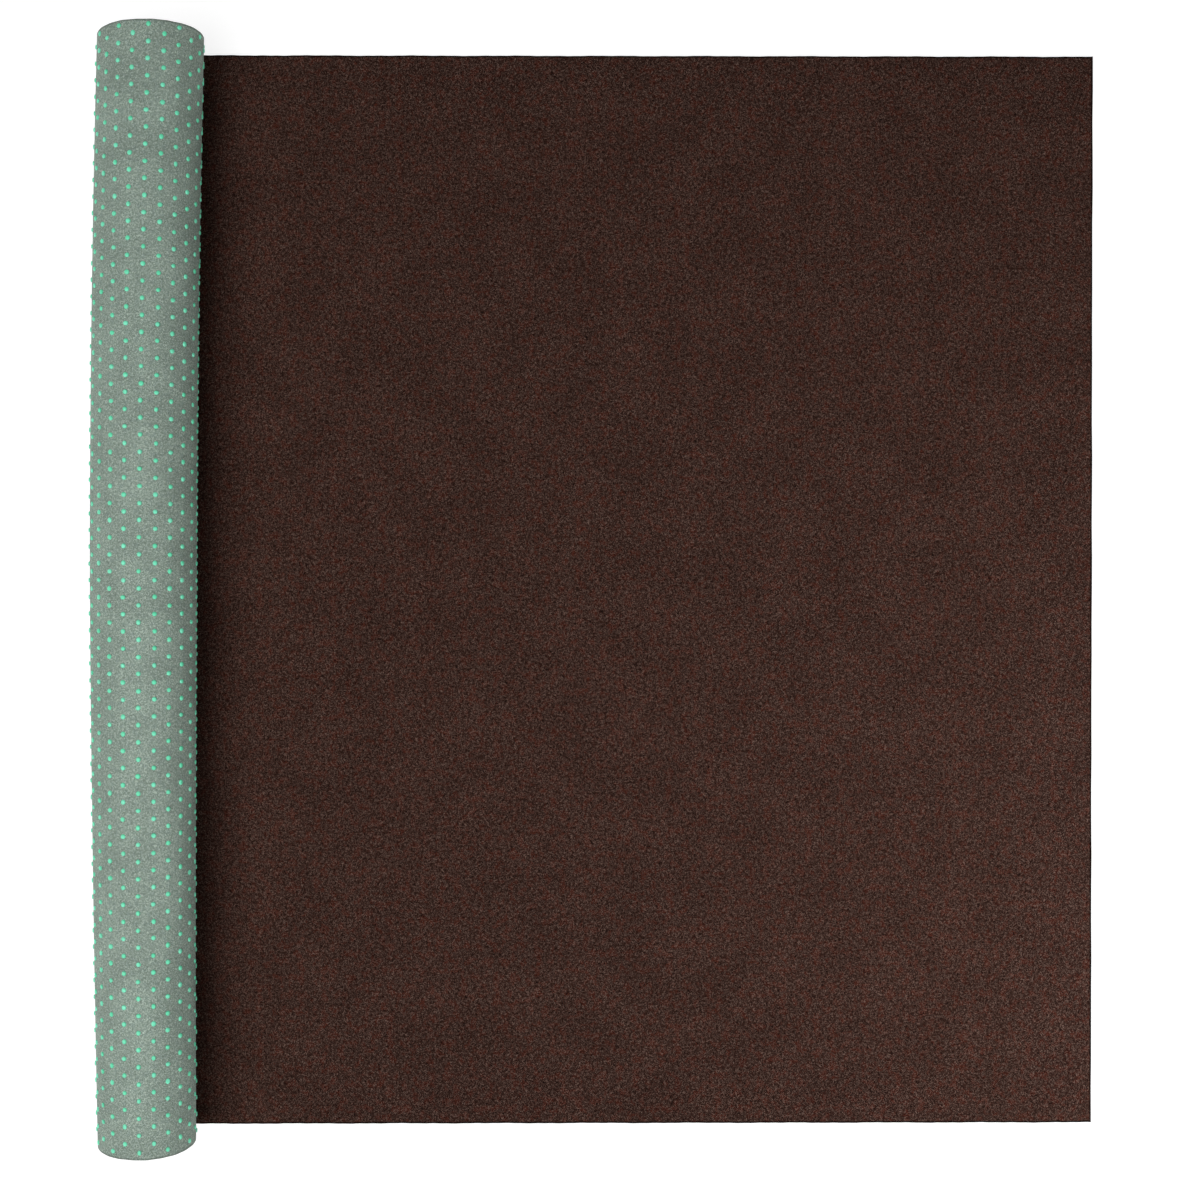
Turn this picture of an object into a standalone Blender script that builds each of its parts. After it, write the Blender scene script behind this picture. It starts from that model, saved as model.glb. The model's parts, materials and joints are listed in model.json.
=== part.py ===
"""A roll-out practice putting mat: a wide two-layer felt sheet, one end rolled up with its face inward.

The sheet is a brown face felt bonded to a grey-green backing felt that carries grip dots. It lies
flat on the floor (z = 0) from the free end at +X to the line where the roll rests, rises round the
left side of the roll and winds inward, clockwise when seen from -Y. Felt bends anywhere, so the
sheet is cut into strips that meet at bend lines parallel to Y: FLAT_BENDS of them in the flat
stretch, which let the roll wind up further, and WRAP_BENDS round the roll, which let it unroll.
The origin is the middle of the object's base, +Z is up, and all lengths are in metres.
"""

import math

import bmesh
import bpy

SHEET_WIDTH = 0.914  # along Y
SHEET_LENGTH = 2.438  # unrolled, from the free end to the end inside the roll
FLAT_LENGTH = 0.797  # from the free end to the line where the roll rests
ROLL_RADIUS = 0.0458  # of the first turn, over the grip dots
TURN_PITCH = 0.00355  # each turn lies this much nearer the centre than the last
SHEET_THICK = 0.0032  # grip dots, backing felt and face felt together
BACKING_TOP = 0.00185  # the backing felt's bonded side, measured from the tips of the grip dots
FACE_BOTTOM = 0.00215  # the face felt's bonded side
BEND_GAP = 0.0003  # clearance between two strips at a bend line

BEND_ANGLE = math.radians(12)  # how far the sheet turns at each bend line of the roll
HALF_BEND = BEND_ANGLE / 2
FLAT_BENDS = 12
WRAP_BENDS = 15
BENDS_PER_TURN = math.tau / BEND_ANGLE

FACE_COLOUR = (0.050, 0.025, 0.019, 1.0)
BACKING_COLOUR = (0.245, 0.305, 0.262, 1.0)
FELT_ROUGHNESS = 0.95
SMOOTH_BELOW = math.radians(30)


# Bend 1 is the first bend line past the contact line and bend 0 the last one before it. Facet n
# is the stretch of sheet between bends n and n + 1, so facet 0 lies on the floor under the roll.


def bend_radius(bend):
    """Distance from the roll's centre to the sheet's outside beside a bend line."""
    return ROLL_RADIUS - TURN_PITCH * (bend - 0.5) / BENDS_PER_TURN


def facet_length(facet):
    return (bend_radius(facet) + bend_radius(facet + 1)) * math.tan(HALF_BEND)


def direction(facet):
    """(x, z) along the facet, away from the free end."""
    slope = max(facet, 0) * BEND_ANGLE
    return -math.cos(slope), math.sin(slope)


def inward(facet):
    """(x, z) from the facet's grip dots towards its face."""
    along_x, along_z = direction(facet)
    return along_z, -along_x


def step(point, vector, distance):
    return point[0] + vector[0] * distance, point[1] + vector[1] * distance


def bend_lines():
    """{bend: (x, z)} along the outside of the sheet, with the contact line at x = 0."""
    first = 1 - FLAT_BENDS
    lines = {0: (bend_radius(0) * math.tan(HALF_BEND), 0.0)}
    for bend in range(-1, first - 1, -1):
        lines[bend] = step(lines[bend + 1], direction(bend), -facet_length(bend))
    bend = 0
    rolled = 0.0
    while rolled < SHEET_LENGTH - FLAT_LENGTH:
        lines[bend + 1] = step(lines[bend], direction(bend), facet_length(bend))
        rolled += facet_length(bend)
        bend += 1
    return lines


def centred(lines):
    """The same lines moved along X, so that the whole object is centred on x = 0."""
    leftmost = min(x for x, z in lines.values())
    middle = (FLAT_LENGTH + leftmost) / 2
    return {bend: (x - middle, z) for bend, (x, z) in lines.items()}, FLAT_LENGTH - middle


def mitred(lines, bend, facet, height):
    """A strip's corner at a bend line: cut back along the mitre, with half the clearance."""
    back = height * math.tan(HALF_BEND) + BEND_GAP / 2 / math.cos(HALF_BEND)
    side = 1 if facet == bend else -1
    corner = step(lines[bend], inward(facet), height)
    return step(corner, direction(facet), side * back)


def wound(lines, bend, height):
    """A corner of the rigid roll, where the sheet turns by BEND_ANGLE without a joint."""
    before = inward(bend - 1)
    after = inward(bend)
    middle = (before[0] + after[0], before[1] + after[1])
    return step(lines[bend], middle, height / (1 + math.cos(BEND_ANGLE)))


def strip_stations(lines, facet, height):
    return [mitred(lines, facet, facet, height), mitred(lines, facet + 1, facet, height)]


def main_stations(lines, free_end, height):
    first = min(lines)
    return [(free_end, height), mitred(lines, first, first - 1, height)]


def roll_stations(lines, height):
    last = max(lines)
    stations = [mitred(lines, WRAP_BENDS, WRAP_BENDS, height)]
    stations += [wound(lines, bend, height) for bend in range(WRAP_BENDS + 1, last)]
    stations.append(step(lines[last], inward(last - 1), height))
    return stations


def felt_material(name, colour):
    material = bpy.data.materials.new(name)
    material.use_nodes = True
    shader = material.node_tree.nodes["Principled BSDF"]
    shader.inputs["Base Color"].default_value = colour
    shader.inputs["Roughness"].default_value = FELT_ROUGHNESS
    shader.inputs["Metallic"].default_value = 0.0
    material.diffuse_color = colour
    return material


def layer_mesh(name, outside, inside, axis):
    """A slab of the sheet's full width between two rows of (x, z) stations, about the axis."""
    shell = bmesh.new()
    rows = [
        [shell.verts.new((x - axis[0], -SHEET_WIDTH / 2, z - axis[1])) for x, z in row]
        for row in (outside, inside)
    ]
    cap = [
        shell.faces.new((rows[0][n], rows[0][n + 1], rows[1][n + 1], rows[1][n]))
        for n in range(len(outside) - 1)
    ]
    grown = bmesh.ops.extrude_face_region(shell, geom=cap, use_keep_orig=True)
    far_side = [item for item in grown["geom"] if isinstance(item, bmesh.types.BMVert)]
    bmesh.ops.translate(shell, vec=(0, SHEET_WIDTH, 0), verts=far_side)
    bmesh.ops.recalc_face_normals(shell, faces=shell.faces)
    mesh = bpy.data.meshes.new(name)
    shell.to_mesh(mesh)
    shell.free()
    mesh.shade_smooth()
    mesh.set_sharp_from_angle(angle=SMOOTH_BELOW)
    return mesh


def hinge_axis(name, point, parent):
    """An empty on a bend line, carried by the one before it."""
    axis = bpy.data.objects.new(name, None)
    axis.empty_display_size = 0.02
    axis.location = (point[0], 0.0, point[1])
    bpy.context.scene.collection.objects.link(axis)
    if parent:
        axis.parent = parent[0]
        axis.location = (point[0] - parent[1][0], 0.0, point[1] - parent[1][1])
    return axis, point


def felt_layers(suffix, stations, materials, carrier):
    """The backing and face felts of one strip, as two objects on the same axis."""
    spans = {"backing_felt": (0.0, BACKING_TOP), "face_felt": (FACE_BOTTOM, SHEET_THICK)}
    axis = carrier[1] if carrier else (0.0, 0.0)
    for layer, (low, high) in spans.items():
        name = f"{layer}_{suffix}"
        mesh = layer_mesh(name, stations(low), stations(high), axis)
        mesh.materials.append(materials[layer])
        felt = bpy.data.objects.new(name, mesh)
        bpy.context.scene.collection.objects.link(felt)
        if carrier:
            felt.parent = carrier[0]


def clear_scene():
    for thing in list(bpy.data.objects):
        bpy.data.objects.remove(thing, do_unlink=True)


def build_mat():
    lines, free_end = centred(bend_lines())
    materials = {
        "face_felt": felt_material("face_felt", FACE_COLOUR),
        "backing_felt": felt_material("backing_felt", BACKING_COLOUR),
    }
    felt_layers("main", lambda height: main_stations(lines, free_end, height), materials, None)
    carrier = None
    for facet in range(1 - FLAT_BENDS, 1):
        number = 1 - facet
        carrier = hinge_axis(f"axis_roll_up_{number:02d}", lines[facet], carrier)
        felt_layers(
            f"flat_strip_{number:02d}",
            lambda height: strip_stations(lines, facet, height),
            materials,
            carrier,
        )
    for facet in range(1, WRAP_BENDS):
        carrier = hinge_axis(f"axis_unroll_{facet:02d}", lines[facet], carrier)
        felt_layers(
            f"wrap_strip_{facet:02d}",
            lambda height: strip_stations(lines, facet, height),
            materials,
            carrier,
        )
    carrier = hinge_axis(f"axis_unroll_{WRAP_BENDS:02d}", lines[WRAP_BENDS], carrier)
    felt_layers("roll", lambda height: roll_stations(lines, height), materials, carrier)


clear_scene()
build_mat()
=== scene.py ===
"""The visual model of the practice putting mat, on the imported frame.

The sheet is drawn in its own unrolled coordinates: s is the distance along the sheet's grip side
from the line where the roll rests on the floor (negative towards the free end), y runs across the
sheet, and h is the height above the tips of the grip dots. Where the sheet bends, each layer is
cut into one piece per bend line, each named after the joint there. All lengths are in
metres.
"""

import json
import math

import bpy
import mathutils
import numpy as np
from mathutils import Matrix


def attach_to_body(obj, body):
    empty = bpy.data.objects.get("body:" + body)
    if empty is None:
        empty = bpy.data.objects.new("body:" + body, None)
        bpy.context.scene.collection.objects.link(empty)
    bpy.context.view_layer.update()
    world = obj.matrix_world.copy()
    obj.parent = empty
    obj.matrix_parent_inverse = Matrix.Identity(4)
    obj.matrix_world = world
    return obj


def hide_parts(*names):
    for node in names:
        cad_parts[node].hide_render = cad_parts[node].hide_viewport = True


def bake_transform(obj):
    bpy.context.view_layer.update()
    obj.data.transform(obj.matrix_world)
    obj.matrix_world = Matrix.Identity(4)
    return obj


# The sheet, as the CAD has it.
WIDTH = 0.914
HALF_WIDTH = WIDTH / 2
SHEET_LENGTH = 2.438
FLAT_LENGTH = 0.797
ROLLED_LENGTH = SHEET_LENGTH - FLAT_LENGTH
ROLL_RADIUS = 0.0458
TURN_PITCH = 0.00355
BEND_ANGLE = math.radians(12)
BENDS_PER_TURN = 30
FLAT_BENDS = 12
WRAP_BENDS = 15

# Heights above the tips of the grip dots.
DOT_FOOT = 0.0012
BACKING_TOP = 0.0020
FACE_TOP = 0.0032

# How the mat differs from the straight ideal. The roll bows towards +X at both ends, it is slimmer
# at the -Y end by a share of its width, and its ends lean by a share of their distance from the
# middle. All of this grows from nothing over the first ROLLED_BY of the rolled sheet.
BOW_AT_PLUS_Y = 0.0060
BOW_AT_MINUS_Y = 0.0029
SLIMMER_AT_MINUS_Y = 0.086
TAPER_SOFTNESS = 0.01
LEAN_AT_PLUS_Y = 0.0049
LEAN_AT_MINUS_Y = 0.0029
ROLLED_BY = math.radians(60) * ROLL_RADIUS

# The free end is narrower on each side and askew.
FREE_END_NARROWER = 0.0013
FREE_END_ASKEW = 0.0008

# A cut edge strays from its line in waves: (length, share of CUT_WANDER, phase). The shifts keep
# the edges from straying alike, and the reaches are how far in from a cut the sheet follows.
CUT_WANDER = 0.0003
CUT_WAVES = ((0.083, 0.45, 0.3), (0.031, 0.30, 1.7), (0.0127, 0.25, 4.1))
SIDE_CUT_SHIFT = 0.4
SIDE_CUT_REACH = 0.001
FREE_END_SHIFT = 0.7
FREE_END_REACH = 0.004

# How a cut edge is rounded: (distance in, share of the felt's thickness lost).
CUT_ROUNDING = ((0.0, 0.42), (0.00015, 0.17), (0.0004, 0.05), (0.0009, 0.0))

# How finely the felts are divided across and along. The roll's outer turn, and the dots on the
# part of it that shows, are finer than what lies inside.
STATIONS_ACROSS = 33
STATIONS_PER_BEND = 8
FLAT_STATION = 0.003
OUTER_STATION = BEND_ANGLE / STATIONS_PER_BEND * ROLL_RADIUS
INNER_STATION = BEND_ANGLE / 3 * ROLL_RADIUS / 2
OUTER_TURN = 0.40
SHOWN_DOTS = 0.31
SHARP_EDGE = math.radians(50)

# The lattice of grip dots: columns along s, skewed by their distance across, and rows along y,
# which start from +Y at one place in the even columns and at another in the odd ones.
COLUMN_PITCH = 0.01274
FIRST_COLUMN = 0.00892
COLUMN_SKEW = 0.0046
ROW_PITCH = 0.01369
FIRST_ROWS = (0.44575, 0.45265)
DOT_EDGE_MARGIN = 0.0015
SEEN_BETWEEN_TURNS = 0.012

# A dot: its size, how it varies, and its dome as (sides, rings of (share of radius, of rise)).
DOT_RADIUS = 0.0019
DOT_SUNK = 0.0002
DOT_SHAPE_SPREAD = 0.04
DOT_PLACE_SPREAD = 0.00012
DOT_RISE = 1.12
HIGHEST_DOT_RISE = 1.2
FINE_DOT = (12, ((1.0, -0.17), (0.99, 0.38), (0.90, 0.72), (0.68, 0.91), (0.36, 0.985)))
PLAIN_DOT = (8, ((1.0, -0.17), (0.96, 0.50), (0.68, 0.89)))

# The felts' looks.
FIBRE_TURNS = (12, 58, 101, 147)
FELT_RELIEF = 0.0004
# Painted shade along the cut edges, for the shadow at the mat's rim: its depth and darkness.
EDGE_SHADOW_DEPTH = 0.0022
EDGE_SHADOW_TONE = 0.15

CAMERA_HEIGHT = 1.336
CAMERA_FROM_CONTACT = 0.3674
CAMERA_LENS = 47.6
CAMERA_SENSOR = 36.0

# The stage reaches this far from the middle, and the floor lies a gap below the mat.
STAGE = 6.0
FLOOR_GAP = 0.0002

# The light from all round, and the lamps: (place, size, the point that it faces, watts).
WORLD_LIGHT = 0.07
KEY_LAMP = ((-0.91, -0.57, 2.32), 1.8, (0.49, 0.0, 0.0), 47.4)
SIDE_LAMP = ((0.82, -0.42, 0.62), 0.5, (0.40, 0.0, 0.0), 5.6)


# The sheet's shape


def bend_radius(bend):
    return ROLL_RADIUS - TURN_PITCH * (bend - 0.5) / BENDS_PER_TURN


def half_facet(bend):
    """Distance from a bend line to the ends of its arc, measured along the facets."""
    return bend_radius(bend) * math.tan(BEND_ANGLE / 2)


def smoothstep(share):
    share = np.clip(share, 0.0, 1.0)
    return share * share * (3 - 2 * share)


class Sheet:
    """Where the points of the sheet lie at rest."""

    def __init__(self, contact):
        self.contact = contact
        self.starts, self.radii, self.centres = [], [], []
        rolled = slope = 0.0
        bend = 1
        point = np.array([contact, 0.0])
        while rolled < ROLLED_LENGTH:
            radius = bend_radius(bend)
            centre = point + radius * np.array([math.sin(slope), math.cos(slope)])
            self.starts.append(rolled)
            self.radii.append(radius)
            self.centres.append(centre)
            slope += BEND_ANGLE
            point = centre - radius * np.array([math.sin(slope), math.cos(slope)])
            rolled += radius * BEND_ANGLE
            bend += 1
        self.starts = np.array(self.starts)
        self.radii = np.array(self.radii)
        self.centres = np.array(self.centres)

    def bend_span(self, bend):
        """(start, end) in s of the piece that bends at a bend line."""
        if bend > 0:
            start = self.starts[bend - 1]
            return start, start + self.radii[bend - 1] * BEND_ANGLE
        end = -2 * sum(half_facet(flat) for flat in range(bend + 1, 1))
        return end - 2 * half_facet(bend), end

    def grip_side(self, s):
        """x, z and slope of the grip side of a straight cylinder's sheet."""
        arc = np.clip(np.searchsorted(self.starts, s, side="right") - 1, 0, None)
        slope = BEND_ANGLE * arc + (s - self.starts[arc]) / self.radii[arc]
        x = self.centres[arc, 0] - self.radii[arc] * np.sin(slope)
        z = self.centres[arc, 1] - self.radii[arc] * np.cos(slope)
        flat = s < 0
        x = np.where(flat, self.contact - s, x)
        return x, np.where(flat, 0.0, z), np.where(flat, 0.0, slope)

    def place(self, s, y, h):
        """Points of the mat as it lies, with its bow, taper and skew."""
        x, z, slope = self.grip_side(s)
        across = y / HALF_WIDTH
        towards_minus = (np.sqrt(across**2 + TAPER_SOFTNESS) - across) / 2
        bow = np.where(across > 0, BOW_AT_PLUS_Y, BOW_AT_MINUS_Y) * across**2
        lean = np.where(across > 0, LEAN_AT_PLUS_Y, LEAN_AT_MINUS_Y) * np.abs(across)
        rolled = smoothstep(s / ROLLED_BY)
        flat = np.clip(-s / FLAT_LENGTH, 0.0, 1.0)
        from_contact = x - self.contact
        y = y * (1 + lean * rolled * from_contact / ROLL_RADIUS)
        y = y * (1 - FREE_END_NARROWER / HALF_WIDTH * flat)
        x = self.contact + from_contact * (1 - SLIMMER_AT_MINUS_Y * towards_minus * rolled)
        x += bow * rolled + FREE_END_ASKEW * across * flat
        return np.stack([x + h * np.sin(slope), y, z + h * np.cos(slope)], axis=-1)


def wander(along):
    """How far a cut edge strays from its line."""
    return CUT_WANDER * sum(
        share * np.sin(math.tau * along / wave + phase) for wave, share, phase in CUT_WAVES
    )


# Meshes


def finished_mesh(name, points, faces, unrolled, material):
    """A smooth-shaded piece, with the unrolled place (s, y) of each point as its UV map."""
    mesh = bpy.data.meshes.new(name)
    mesh.from_pydata(points.tolist(), [], faces)
    corners = np.empty(len(mesh.loops), np.int32)
    mesh.loops.foreach_get("vertex_index", corners)
    layer = mesh.uv_layers.new(name="unrolled")
    layer.data.foreach_set("uv", unrolled[corners].astype(np.float32).ravel())
    mesh.materials.append(material)
    mesh.shade_smooth()
    mesh.set_sharp_from_angle(angle=SHARP_EDGE)
    piece = bpy.data.objects.new(name, mesh)
    bpy.context.scene.collection.objects.link(piece)
    return piece


def rounded_ends(stations, first_cut, last_cut):
    """The stations with rounding ones added at cut ends, and the thickness that each loses."""
    inner = list(stations)
    lost = [0.0] * len(inner)
    if first_cut:
        inner = [inner[0] + inset for inset, share in CUT_ROUNDING] + inner[1:]
        lost = [share for inset, share in CUT_ROUNDING] + lost[1:]
    if last_cut:
        inner = inner[:-1] + [inner[-1] - inset for inset, share in reversed(CUT_ROUNDING)]
        lost = lost[:-1] + [share for inset, share in reversed(CUT_ROUNDING)]
    return np.array(inner), np.array(lost)


def grid_faces(rows, columns, offset, flip):
    """The faces of a grid of points, whose first point has the number offset."""
    faces = []
    for row in range(rows - 1):
        for column in range(columns - 1):
            a = offset + row * columns + column
            quad = (a, a + 1, a + columns + 1, a + columns)
            faces.append(quad[::-1] if flip else quad)
    return faces


def rim_faces(rows, columns):
    """The faces that close the gap between the lower grid and the upper grid after it."""
    ring = list(range(columns))
    ring += [row * columns + columns - 1 for row in range(1, rows)]
    ring += [(rows - 1) * columns + column for column in range(columns - 2, -1, -1)]
    ring += [row * columns for row in range(rows - 2, 0, -1)]
    upper = rows * columns
    pairs = zip(ring, ring[1:] + ring[:1])
    return [(a, a + upper, b + upper, b) for a, b in pairs]


def felt_heights(layer, lost_share):
    """(bottom, top) heights of a layer, whose outside is rounded at the cuts."""
    if layer == "backing_felt":
        lost = lost_share * (BACKING_TOP - DOT_FOOT)
        return DOT_FOOT + lost, np.full_like(lost, BACKING_TOP)
    lost = lost_share * (FACE_TOP - BACKING_TOP)
    return np.full_like(lost, BACKING_TOP), FACE_TOP - lost


def felt_piece(sheet, name, layer, stations, material, first_cut, last_cut):
    """One layer of felt over the stations along s, at the sheet's full width."""
    s, lost_along = rounded_ends(stations, first_cut, last_cut)
    across = np.linspace(-HALF_WIDTH, HALF_WIDTH, STATIONS_ACROSS)
    y, lost_across = rounded_ends(across, True, True)
    side_cut = (HALF_WIDTH - np.abs(y) < SIDE_CUT_REACH) * np.sign(y)
    s, y = np.meshgrid(s, y, indexing="ij")
    strayed = y + side_cut * wander(s + SIDE_CUT_SHIFT * side_cut)
    if first_cut:
        near_end = smoothstep(1 - (s - s.min()) / FREE_END_REACH)
        s = s + near_end * wander(y + FREE_END_SHIFT)
    heights = felt_heights(layer, np.maximum(lost_along[:, None], lost_across))
    points = np.concatenate([sheet.place(s, strayed, h).reshape(-1, 3) for h in heights])
    rows, columns = s.shape
    faces = grid_faces(rows, columns, 0, True) + grid_faces(rows, columns, rows * columns, False)
    faces += rim_faces(rows, columns)
    unrolled = np.tile(np.stack([s, y], axis=-1).reshape(-1, 2), (2, 1))
    return finished_mesh(name, points, faces, unrolled, material)


def dot_shape(kind):
    """Offsets (along, across, rise) of a dome's points, and its faces."""
    sides, rings = kind
    points = [(0.0, 0.0, 1.0)]
    for reach, rise in reversed(rings):
        turns = (math.tau * side / sides for side in range(sides))
        points += [(reach * math.cos(turn), reach * math.sin(turn), rise) for turn in turns]
    faces = [(0, 1 + (side + 1) % sides, 1 + side) for side in range(sides)]
    for ring in range(len(rings) - 1):
        upper = 1 + ring * sides
        lower = upper + sides
        for side in range(sides):
            after = (side + 1) % sides
            faces.append((upper + side, upper + after, lower + after, lower + side))
    faces.append(tuple(1 + (len(rings) - 1) * sides + side for side in range(sides)))
    return np.array(points), faces


def dot_centres(first, last, only_edges=False):
    """(s, y) of the dots whose centres lie from first to last."""
    centres = []
    first_column = math.floor((first - FIRST_COLUMN) / COLUMN_PITCH) - 1
    last_column = math.ceil((last - FIRST_COLUMN) / COLUMN_PITCH) + 1
    for column in range(first_column, last_column + 1):
        y = FIRST_ROWS[column % 2]
        while y > DOT_EDGE_MARGIN - HALF_WIDTH:
            s = FIRST_COLUMN + column * COLUMN_PITCH + COLUMN_SKEW * y
            near_edge = HALF_WIDTH - abs(y) < SEEN_BETWEEN_TURNS
            if first <= s < last and (near_edge or not only_edges):
                centres.append((s, y))
            y -= ROW_PITCH
    return centres


def dots_piece(sheet, name, centres, kind, material, seed):
    """Grip dots: low rubber domes, each a little different."""
    chance = np.random.default_rng(seed)
    shape, shape_faces = dot_shape(kind)
    points, faces, unrolled = [], [], []
    for count, (s, y) in enumerate(centres):
        size = DOT_RADIUS * chance.normal(1.0, DOT_SHAPE_SPREAD)
        stretch = chance.normal(1.0, DOT_SHAPE_SPREAD)
        higher = min(HIGHEST_DOT_RISE, chance.normal(DOT_RISE, DOT_SHAPE_SPREAD))
        rise = (DOT_FOOT - DOT_SUNK) * higher
        s += chance.normal(0.0, DOT_PLACE_SPREAD)
        y += chance.normal(0.0, DOT_PLACE_SPREAD)
        along = s + shape[:, 0] * size * stretch
        across = y + shape[:, 1] * size / stretch
        h = DOT_FOOT - shape[:, 2] * rise
        points.append(sheet.place(along, across, h))
        unrolled.append(np.stack([along, across], axis=-1))
        faces += [tuple(corner + count * len(shape) for corner in face) for face in shape_faces]
    return finished_mesh(name, np.concatenate(points), faces, np.concatenate(unrolled), material)


# Materials


def linear(red, green, blue):
    """A linear RGBA colour from display values of 0 to 255."""
    shares = [value / 255 for value in (red, green, blue)]
    return (*(s / 12.92 if s <= 0.04045 else ((s + 0.055) / 1.055) ** 2.4 for s in shares), 1.0)


class Graph:
    """A material's node tree, built from the shader backwards."""

    def __init__(self, name):
        self.material = bpy.data.materials.new(name)
        self.material.use_nodes = True
        self.tree = self.material.node_tree
        self.shader = self.tree.nodes["Principled BSDF"]
        self.unrolled = self.add("ShaderNodeUVMap")
        self.unrolled.uv_map = "unrolled"

    def add(self, kind, inputs=None, **settings):
        node = self.tree.nodes.new(kind)
        for key, value in settings.items():
            setattr(node, key, value)
        for key, value in (inputs or {}).items():
            self.feed(node.inputs[key], value)
        return node

    def feed(self, socket, value):
        if isinstance(value, bpy.types.NodeSocket):
            self.tree.links.new(value, socket)
        else:
            socket.default_value = value

    def math(self, operation, *values):
        node = self.add("ShaderNodeMath", operation=operation)
        for socket, value in zip(node.inputs, values):
            self.feed(socket, value)
        return node.outputs[0]

    def ranged(self, value, low, high):
        """0 at low, 1 at high, smoothly."""
        node = self.add(
            "ShaderNodeMapRange",
            {"Value": value, "From Min": low, "From Max": high},
            interpolation_type="SMOOTHSTEP",
        )
        return node.outputs["Result"]

    def mixed(self, share, first, second):
        """The Mix node's colour sockets are its inputs 6 and 7 and its output 2."""
        node = self.add("ShaderNodeMix", data_type="RGBA")
        self.feed(node.inputs["Factor"], share)
        self.feed(node.inputs[6], first)
        self.feed(node.inputs[7], second)
        return node.outputs[2]

    def noise(self, vector, size, detail=2.0, offset=0.0):
        """Noise whose features are about size metres, offset to differ from other noises."""
        placed = self.add(
            "ShaderNodeMapping",
            {
                "Vector": vector,
                "Location": (offset, offset * 0.7, 0),
                "Scale": (size, size, size),
            },
            vector_type="TEXTURE",
        )
        node = self.add(
            "ShaderNodeTexNoise",
            {"Vector": placed.outputs[0], "Scale": 1.0, "Detail": detail},
            noise_dimensions="2D",
        )
        return node

    def strands(self, vector, turn, length, width, offset):
        """Fibres that run one way."""
        placed = self.add(
            "ShaderNodeMapping",
            {
                "Vector": vector,
                "Location": (offset, -offset, 0),
                "Rotation": (0, 0, math.radians(turn)),
                "Scale": (length, width, 1),
            },
            vector_type="TEXTURE",
        )
        node = self.add(
            "ShaderNodeTexNoise",
            {"Vector": placed.outputs[0], "Scale": 1.0, "Detail": 1.0, "Roughness": 0.5},
            noise_dimensions="2D",
        )
        return node.outputs["Fac"]


def felt_fibres(graph, length, width, bend):
    """(light, dark): masks of the fibres that stand out pale and of the gaps between fibres."""
    swirl = graph.noise(graph.unrolled.outputs[0], length * 1.6, detail=0.0, offset=3.3)
    centred = graph.add(
        "ShaderNodeVectorMath",
        {0: swirl.outputs["Color"], 1: (0.5, 0.5, 0.5)},
        operation="SUBTRACT",
    )
    scaled = graph.add("ShaderNodeVectorMath", {0: centred.outputs[0]}, operation="SCALE")
    scaled.inputs["Scale"].default_value = bend
    moved = graph.add(
        "ShaderNodeVectorMath",
        {0: graph.unrolled.outputs[0], 1: scaled.outputs[0]},
        operation="ADD",
    )
    fields = [
        graph.strands(moved.outputs[0], turn, length, width, 0.37 * (number + 1))
        for number, turn in enumerate(FIBRE_TURNS)
    ]
    light = dark = fields[0]
    for field in fields[1:]:
        light = graph.math("MAXIMUM", light, field)
        dark = graph.math("MINIMUM", dark, field)
    return light, dark


def edge_shadow_mask(graph, depth):
    """Where shade is painted along the cut edges: 1 at the sheet's cut edges, falling to 0 at
    a depth inside them.
    """
    parts = graph.add("ShaderNodeSeparateXYZ", {0: graph.unrolled.outputs[0]})
    across = graph.math("ABSOLUTE", parts.outputs["Y"])
    sides = graph.ranged(across, HALF_WIDTH - depth, HALF_WIDTH - depth * 0.3)
    end = graph.ranged(parts.outputs["X"], depth - FLAT_LENGTH, depth * 0.3 - FLAT_LENGTH)
    return graph.math("MAXIMUM", sides, end)


def felt_material(name, colours, fibre, tint_size, patch_size, painted_edge_shadow, bump):
    """Needle felt: colours are of (gap, body, pale fibre, tinted fibre), and fibre is its
    (length, width, bend). Its cut edges get painted shade, for the shadow at the mat's rim.
    """
    gap, body, pale, tinted = colours
    length, width, bend = fibre
    graph = Graph(name)
    unrolled = graph.unrolled.outputs[0]
    light, dark = felt_fibres(graph, length, width, bend)
    grain = graph.noise(unrolled, width * 0.9, detail=1.0, offset=1.1).outputs["Fac"]
    tint_field = graph.noise(unrolled, tint_size, detail=4.0, offset=5.7).outputs["Fac"]
    broad = graph.noise(unrolled, patch_size, detail=3.0, offset=7.9).outputs["Fac"]
    tinted_body = graph.mixed(graph.ranged(tint_field, 0.46, 0.66), body, tinted)
    with_gaps = graph.mixed(graph.ranged(dark, 0.40, 0.20), tinted_body, gap)
    grained = graph.mixed(graph.ranged(grain, 0.52, 0.30), with_gaps, gap)
    fibres = graph.mixed(graph.ranged(light, 0.62, 0.82), grained, pale)
    # In broad patches the felt is from 0.92 to 1.08 times as bright.
    brightness = graph.math("MULTIPLY_ADD", graph.ranged(broad, 0.30, 0.70), 0.16, 0.92)
    toned = graph.add("ShaderNodeHueSaturation", {"Color": fibres, "Value": brightness})
    # A dark band of painted shade along the cut edges stands in for the shadow at the mat's rim.
    edge_shadow_share = graph.math("MULTIPLY", edge_shadow_mask(graph, EDGE_SHADOW_DEPTH), painted_edge_shadow)
    edge_shadow_colour = (*(value * EDGE_SHADOW_TONE for value in gap[:3]), 1.0)
    coloured = graph.mixed(edge_shadow_share, toned.outputs[0], edge_shadow_colour)
    graph.feed(graph.shader.inputs["Base Color"], coloured)
    height = graph.math("ADD", graph.math("SUBTRACT", light, 0.5), dark)
    relief = graph.add(
        "ShaderNodeBump", {"Height": height, "Strength": bump, "Distance": FELT_RELIEF}
    )
    graph.feed(graph.shader.inputs["Normal"], relief.outputs[0])
    graph.shader.inputs["Roughness"].default_value = 0.95
    graph.shader.inputs["Specular IOR Level"].default_value = 0.06
    return graph


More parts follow.
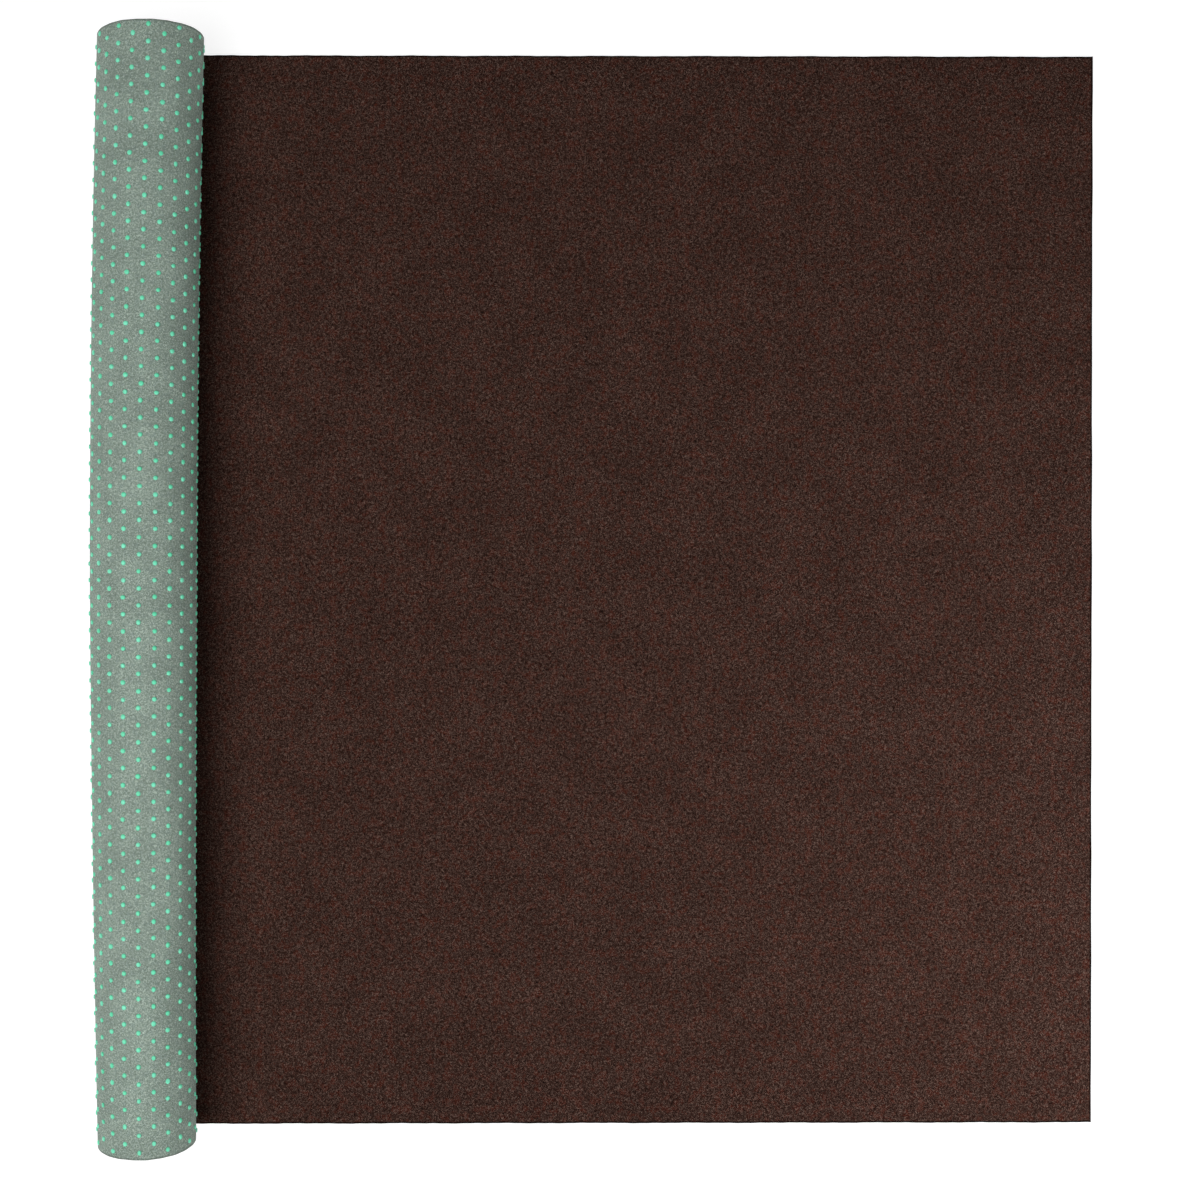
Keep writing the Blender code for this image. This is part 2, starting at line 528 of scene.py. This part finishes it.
def face_felt_material():
    graph = felt_material(
        "brown_felt",
        colours=(linear(16, 7, 6), linear(59, 37, 30), linear(112, 90, 81), linear(78, 38, 28)),
        fibre=(0.0030, 0.0006, 0.0016),
        tint_size=0.007,
        patch_size=0.045,
        painted_edge_shadow=0.9,
        bump=0.5,
    )
    graph.shader.inputs["Sheen Weight"].default_value = 0.01
    graph.shader.inputs["Sheen Roughness"].default_value = 0.5
    graph.shader.inputs["Sheen Tint"].default_value = linear(150, 120, 105)
    return graph.material


def backing_felt_material():
    graph = felt_material(
        "sage_felt",
        colours=(
            linear(108, 124, 112),
            linear(155, 171, 159),
            linear(206, 220, 208),
            linear(147, 164, 156),
        ),
        fibre=(0.0024, 0.0006, 0.0012),
        tint_size=0.004,
        patch_size=0.03,
        painted_edge_shadow=0.4,
        bump=0.4,
    )
    graph.shader.inputs["Sheen Weight"].default_value = 0.05
    graph.shader.inputs["Sheen Roughness"].default_value = 0.5
    return graph.material


def grip_dot_material():
    """Moulded rubber, a little uneven from dot to dot."""
    graph = Graph("mint_rubber")
    uneven = graph.noise(graph.unrolled.outputs[0], 0.009, detail=2.0, offset=2.3).outputs["Fac"]
    share = graph.ranged(uneven, 0.3, 0.7)
    colour = graph.mixed(share, linear(112, 246, 195), linear(136, 254, 213))
    graph.feed(graph.shader.inputs["Base Color"], colour)
    fine = graph.noise(graph.unrolled.outputs[0], 0.0011, detail=1.0, offset=4.9).outputs["Fac"]
    relief = graph.add("ShaderNodeBump", {"Height": fine, "Strength": 0.25, "Distance": 0.0003})
    graph.feed(graph.shader.inputs["Normal"], relief.outputs[0])
    graph.shader.inputs["Roughness"].default_value = 0.42
    graph.shader.inputs["Specular IOR Level"].default_value = 0.5
    return graph.material


# Pieces


def stations_between(first, last, step):
    """Places from first to last, at most a step apart."""
    steps = max(1, math.ceil((last - first) / step - 1e-6))
    return np.linspace(first, last, steps + 1)


def lay_felts(sheet, suffix, stations, materials, attach, replaced, cuts=(False, False)):
    """Both felts of one stretch of the sheet, each handed to attach."""
    for layer in ("backing_felt", "face_felt"):
        piece = felt_piece(sheet, f"{layer}_{suffix}", layer, stations, materials[layer], *cuts)
        attach(piece)
        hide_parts(f"{layer}_{replaced}")


def lay_dots(sheet, suffix, centres, kind, materials, attach, seed):
    """The grip dots of one stretch, if any have their centres on it."""
    if centres:
        name = f"grip_dots_{suffix}"
        piece = dots_piece(sheet, name, centres, kind, materials["grip_dots"], seed)
        attach(piece)


def lay_flat_stretch(sheet, materials):
    """The stretch from the free end to the first bend line."""
    first = -FLAT_LENGTH
    last = sheet.bend_span(1 - FLAT_BENDS)[0]

    def attach(piece):
        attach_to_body(piece, "main")

    stations = stations_between(first, last, FLAT_STATION)
    lay_felts(sheet, "flat_stretch", stations, materials, attach, "main", (True, False))
    centres = dot_centres(first + DOT_RADIUS, last)
    lay_dots(sheet, "flat_stretch", centres, PLAIN_DOT, materials, attach, 1)


def lay_bend(sheet, bend, joint, materials):
    """The piece that bends at one bend line, between the middles of the strips beside it."""
    first, last = sheet.bend_span(bend)
    x, z, _ = sheet.grip_side(np.array([first, last]))

    def attach(piece):
        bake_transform(piece)

    suffix = joint["name"]
    stations = stations_between(first, last, (last - first) / STATIONS_PER_BEND)
    lay_felts(sheet, suffix, stations, materials, attach, joint["child"])
    lay_dots(sheet, suffix, dot_centres(first, last), FINE_DOT, materials, attach, 100 + bend)


def lay_roll(sheet, materials):
    """The rigid part of the roll: its outer turn, and the turns hidden inside it."""
    first = sheet.bend_span(WRAP_BENDS)[1]
    middle = first + OUTER_TURN
    last_shown = first + SHOWN_DOTS

    def attach(piece):
        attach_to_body(piece, "roll")

    outer = stations_between(first, middle, OUTER_STATION)
    inner = stations_between(middle, ROLLED_LENGTH, INNER_STATION)
    lay_felts(sheet, "roll_outer_turn", outer, materials, attach, "roll")
    lay_felts(sheet, "roll_inner_turns", inner, materials, attach, "roll", (False, True))
    lay_dots(sheet, "roll", dot_centres(first, last_shown), FINE_DOT, materials, attach, 2)
    hidden = dot_centres(last_shown, ROLLED_LENGTH - DOT_RADIUS, only_edges=True)
    lay_dots(sheet, "roll_inner_turns", hidden, PLAIN_DOT, materials, attach, 3)


def lay_mat(frame):
    """The whole mat. Gives the x of the line where the roll rests on the floor."""
    joints = {joint["name"]: joint for joint in frame["joints"]}
    contact = joints["roll_up_01"]["pos_m"][0] - half_facet(0)
    sheet = Sheet(contact)
    materials = {
        "face_felt": face_felt_material(),
        "backing_felt": backing_felt_material(),
        "grip_dots": grip_dot_material(),
    }
    lay_flat_stretch(sheet, materials)
    for bend in range(1 - FLAT_BENDS, WRAP_BENDS + 1):
        name = f"unroll_{bend:02d}" if bend > 0 else f"roll_up_{1 - bend:02d}"
        lay_bend(sheet, bend, joints[name], materials)
    lay_roll(sheet, materials)
    return contact


# Floor, light and camera


def stage_piece(name, corners, faces, colour, glow):
    """A plain matt surface that isn't part of the object: a grey with a white glow of its own."""
    mesh = bpy.data.meshes.new(name)
    mesh.from_pydata(corners, [], faces)
    material = bpy.data.materials.new(name)
    material.use_nodes = True
    shader = material.node_tree.nodes["Principled BSDF"]
    shader.inputs["Base Color"].default_value = (colour, colour, colour, 1.0)
    shader.inputs["Roughness"].default_value = 0.9
    shader.inputs["Specular IOR Level"].default_value = 0.2
    shader.inputs["Emission Color"].default_value = (1.0, 1.0, 1.0, 1.0)
    shader.inputs["Emission Strength"].default_value = glow
    mesh.materials.append(material)
    piece = bpy.data.objects.new(name, mesh)
    bpy.context.scene.collection.objects.link(piece)
    return piece


def make_floor():
    corners = [(-STAGE, -STAGE, 0), (STAGE, -STAGE, 0), (STAGE, STAGE, 0), (-STAGE, STAGE, 0)]
    floor = stage_piece("floor", corners, [(0, 1, 2, 3)], colour=0.3, glow=0.85)
    floor.location.z = -FLOOR_GAP


def make_backdrop():
    """Pale walls round the floor, which light nothing and shade nothing."""
    feet = [(-STAGE, -STAGE), (STAGE, -STAGE), (STAGE, STAGE), (-STAGE, STAGE)]
    corners = [(x, y, z) for z in (-FLOOR_GAP, STAGE) for x, y in feet]
    faces = [(side, (side + 1) % 4, (side + 1) % 4 + 4, side + 4) for side in range(4)]
    walls = stage_piece("backdrop", corners, faces, colour=0.1, glow=0.88)
    walls.visible_diffuse = False
    walls.visible_glossy = False
    walls.visible_shadow = False


def soft_lamp(name, place, size, faces, power):
    """A square lamp that shines on a point and isn't seen itself."""
    light = bpy.data.lights.new(name, "AREA")
    light.size = size
    light.energy = power
    lamp = bpy.data.objects.new(name, light)
    lamp.location = place
    away = lamp.location - mathutils.Vector(faces)
    lamp.rotation_euler = away.to_track_quat("Z", "Y").to_euler()
    lamp.visible_camera = False
    bpy.context.scene.collection.objects.link(lamp)


def light_scene():
    world = bpy.data.worlds.new("studio")
    world.use_nodes = True
    background = world.node_tree.nodes["Background"]
    background.inputs["Color"].default_value = (1.0, 1.0, 1.0, 1.0)
    background.inputs["Strength"].default_value = WORLD_LIGHT
    bpy.context.scene.world = world
    soft_lamp("key_lamp", *KEY_LAMP)
    soft_lamp("side_lamp", *SIDE_LAMP)


def place_camera(contact):
    """The camera looks straight down."""
    lens = bpy.data.cameras.new("camera")
    lens.lens = CAMERA_LENS
    lens.sensor_width = CAMERA_SENSOR
    camera = bpy.data.objects.new("camera", lens)
    camera.location = (contact + CAMERA_FROM_CONTACT, 0.0, CAMERA_HEIGHT)
    bpy.context.scene.collection.objects.link(camera)
    bpy.context.scene.camera = camera


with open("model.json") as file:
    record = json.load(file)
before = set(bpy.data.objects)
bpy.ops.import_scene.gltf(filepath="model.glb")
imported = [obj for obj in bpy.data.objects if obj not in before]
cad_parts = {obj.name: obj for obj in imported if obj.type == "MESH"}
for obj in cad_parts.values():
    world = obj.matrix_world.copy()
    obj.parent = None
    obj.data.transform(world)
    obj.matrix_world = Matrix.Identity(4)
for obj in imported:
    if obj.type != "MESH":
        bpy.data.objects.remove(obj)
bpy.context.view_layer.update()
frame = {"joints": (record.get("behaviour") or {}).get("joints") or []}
make_floor()
make_backdrop()
light_scene()
place_camera(lay_mat(frame))
bpy.context.scene.view_settings.view_transform = "Standard"
